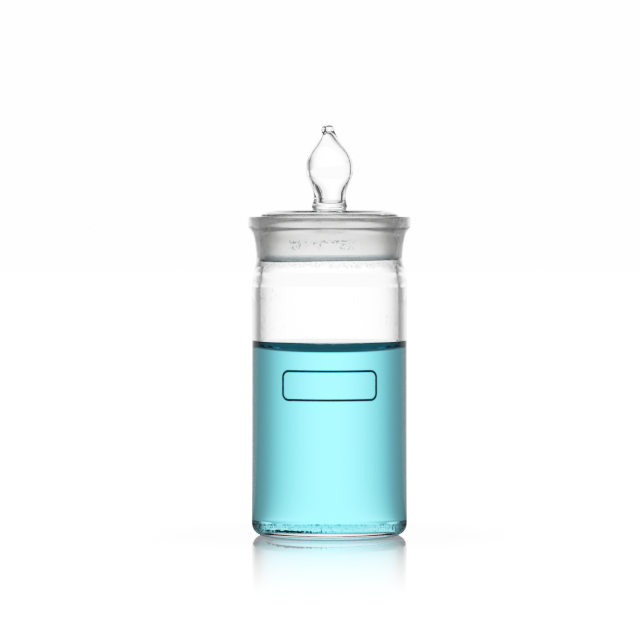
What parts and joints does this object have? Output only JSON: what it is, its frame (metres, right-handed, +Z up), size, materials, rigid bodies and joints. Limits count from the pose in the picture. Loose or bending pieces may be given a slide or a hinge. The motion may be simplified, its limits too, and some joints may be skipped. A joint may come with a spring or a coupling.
{
  "type": "weighing bottle",
  "caption": "Tall-form glass weighing bottle with a ground neck, a hollow lift-out stopper with a teardrop knob, and a cyan liquid inside.",
  "frame": {"origin": "centre of the base, on the surface that the bottle stands on", "axes": "+Z up the bottle's axis towards the knob, -Y out of the marked front"},
  "size_m": [0.031, 0.031, 0.0782],
  "materials": {
    "clear_glass": "clear drawn glass, smooth, almost colourless with a faint grey edge",
    "ground_glass": "clear glass plate with a ground, translucent white taper",
    "cyan_liquid": "clear thin cyan solution",
    "fired_enamel": "dark teal fired enamel print, satin"
  },
  "bodies": {
    "bottle": {"bottle_body": "clear_glass", "liquid_fill": "cyan_liquid", "marking_field": "fired_enamel"},
    "stopper": {"stopper_plug": "ground_glass", "stopper_knob": "clear_glass"}
  },
  "joints": [
    {"name": "stopper_lift", "type": "slide", "parent": "bottle", "child": "stopper", "axis": [0, 0, 1], "range_m": [0, 0.03]}
  ]
}
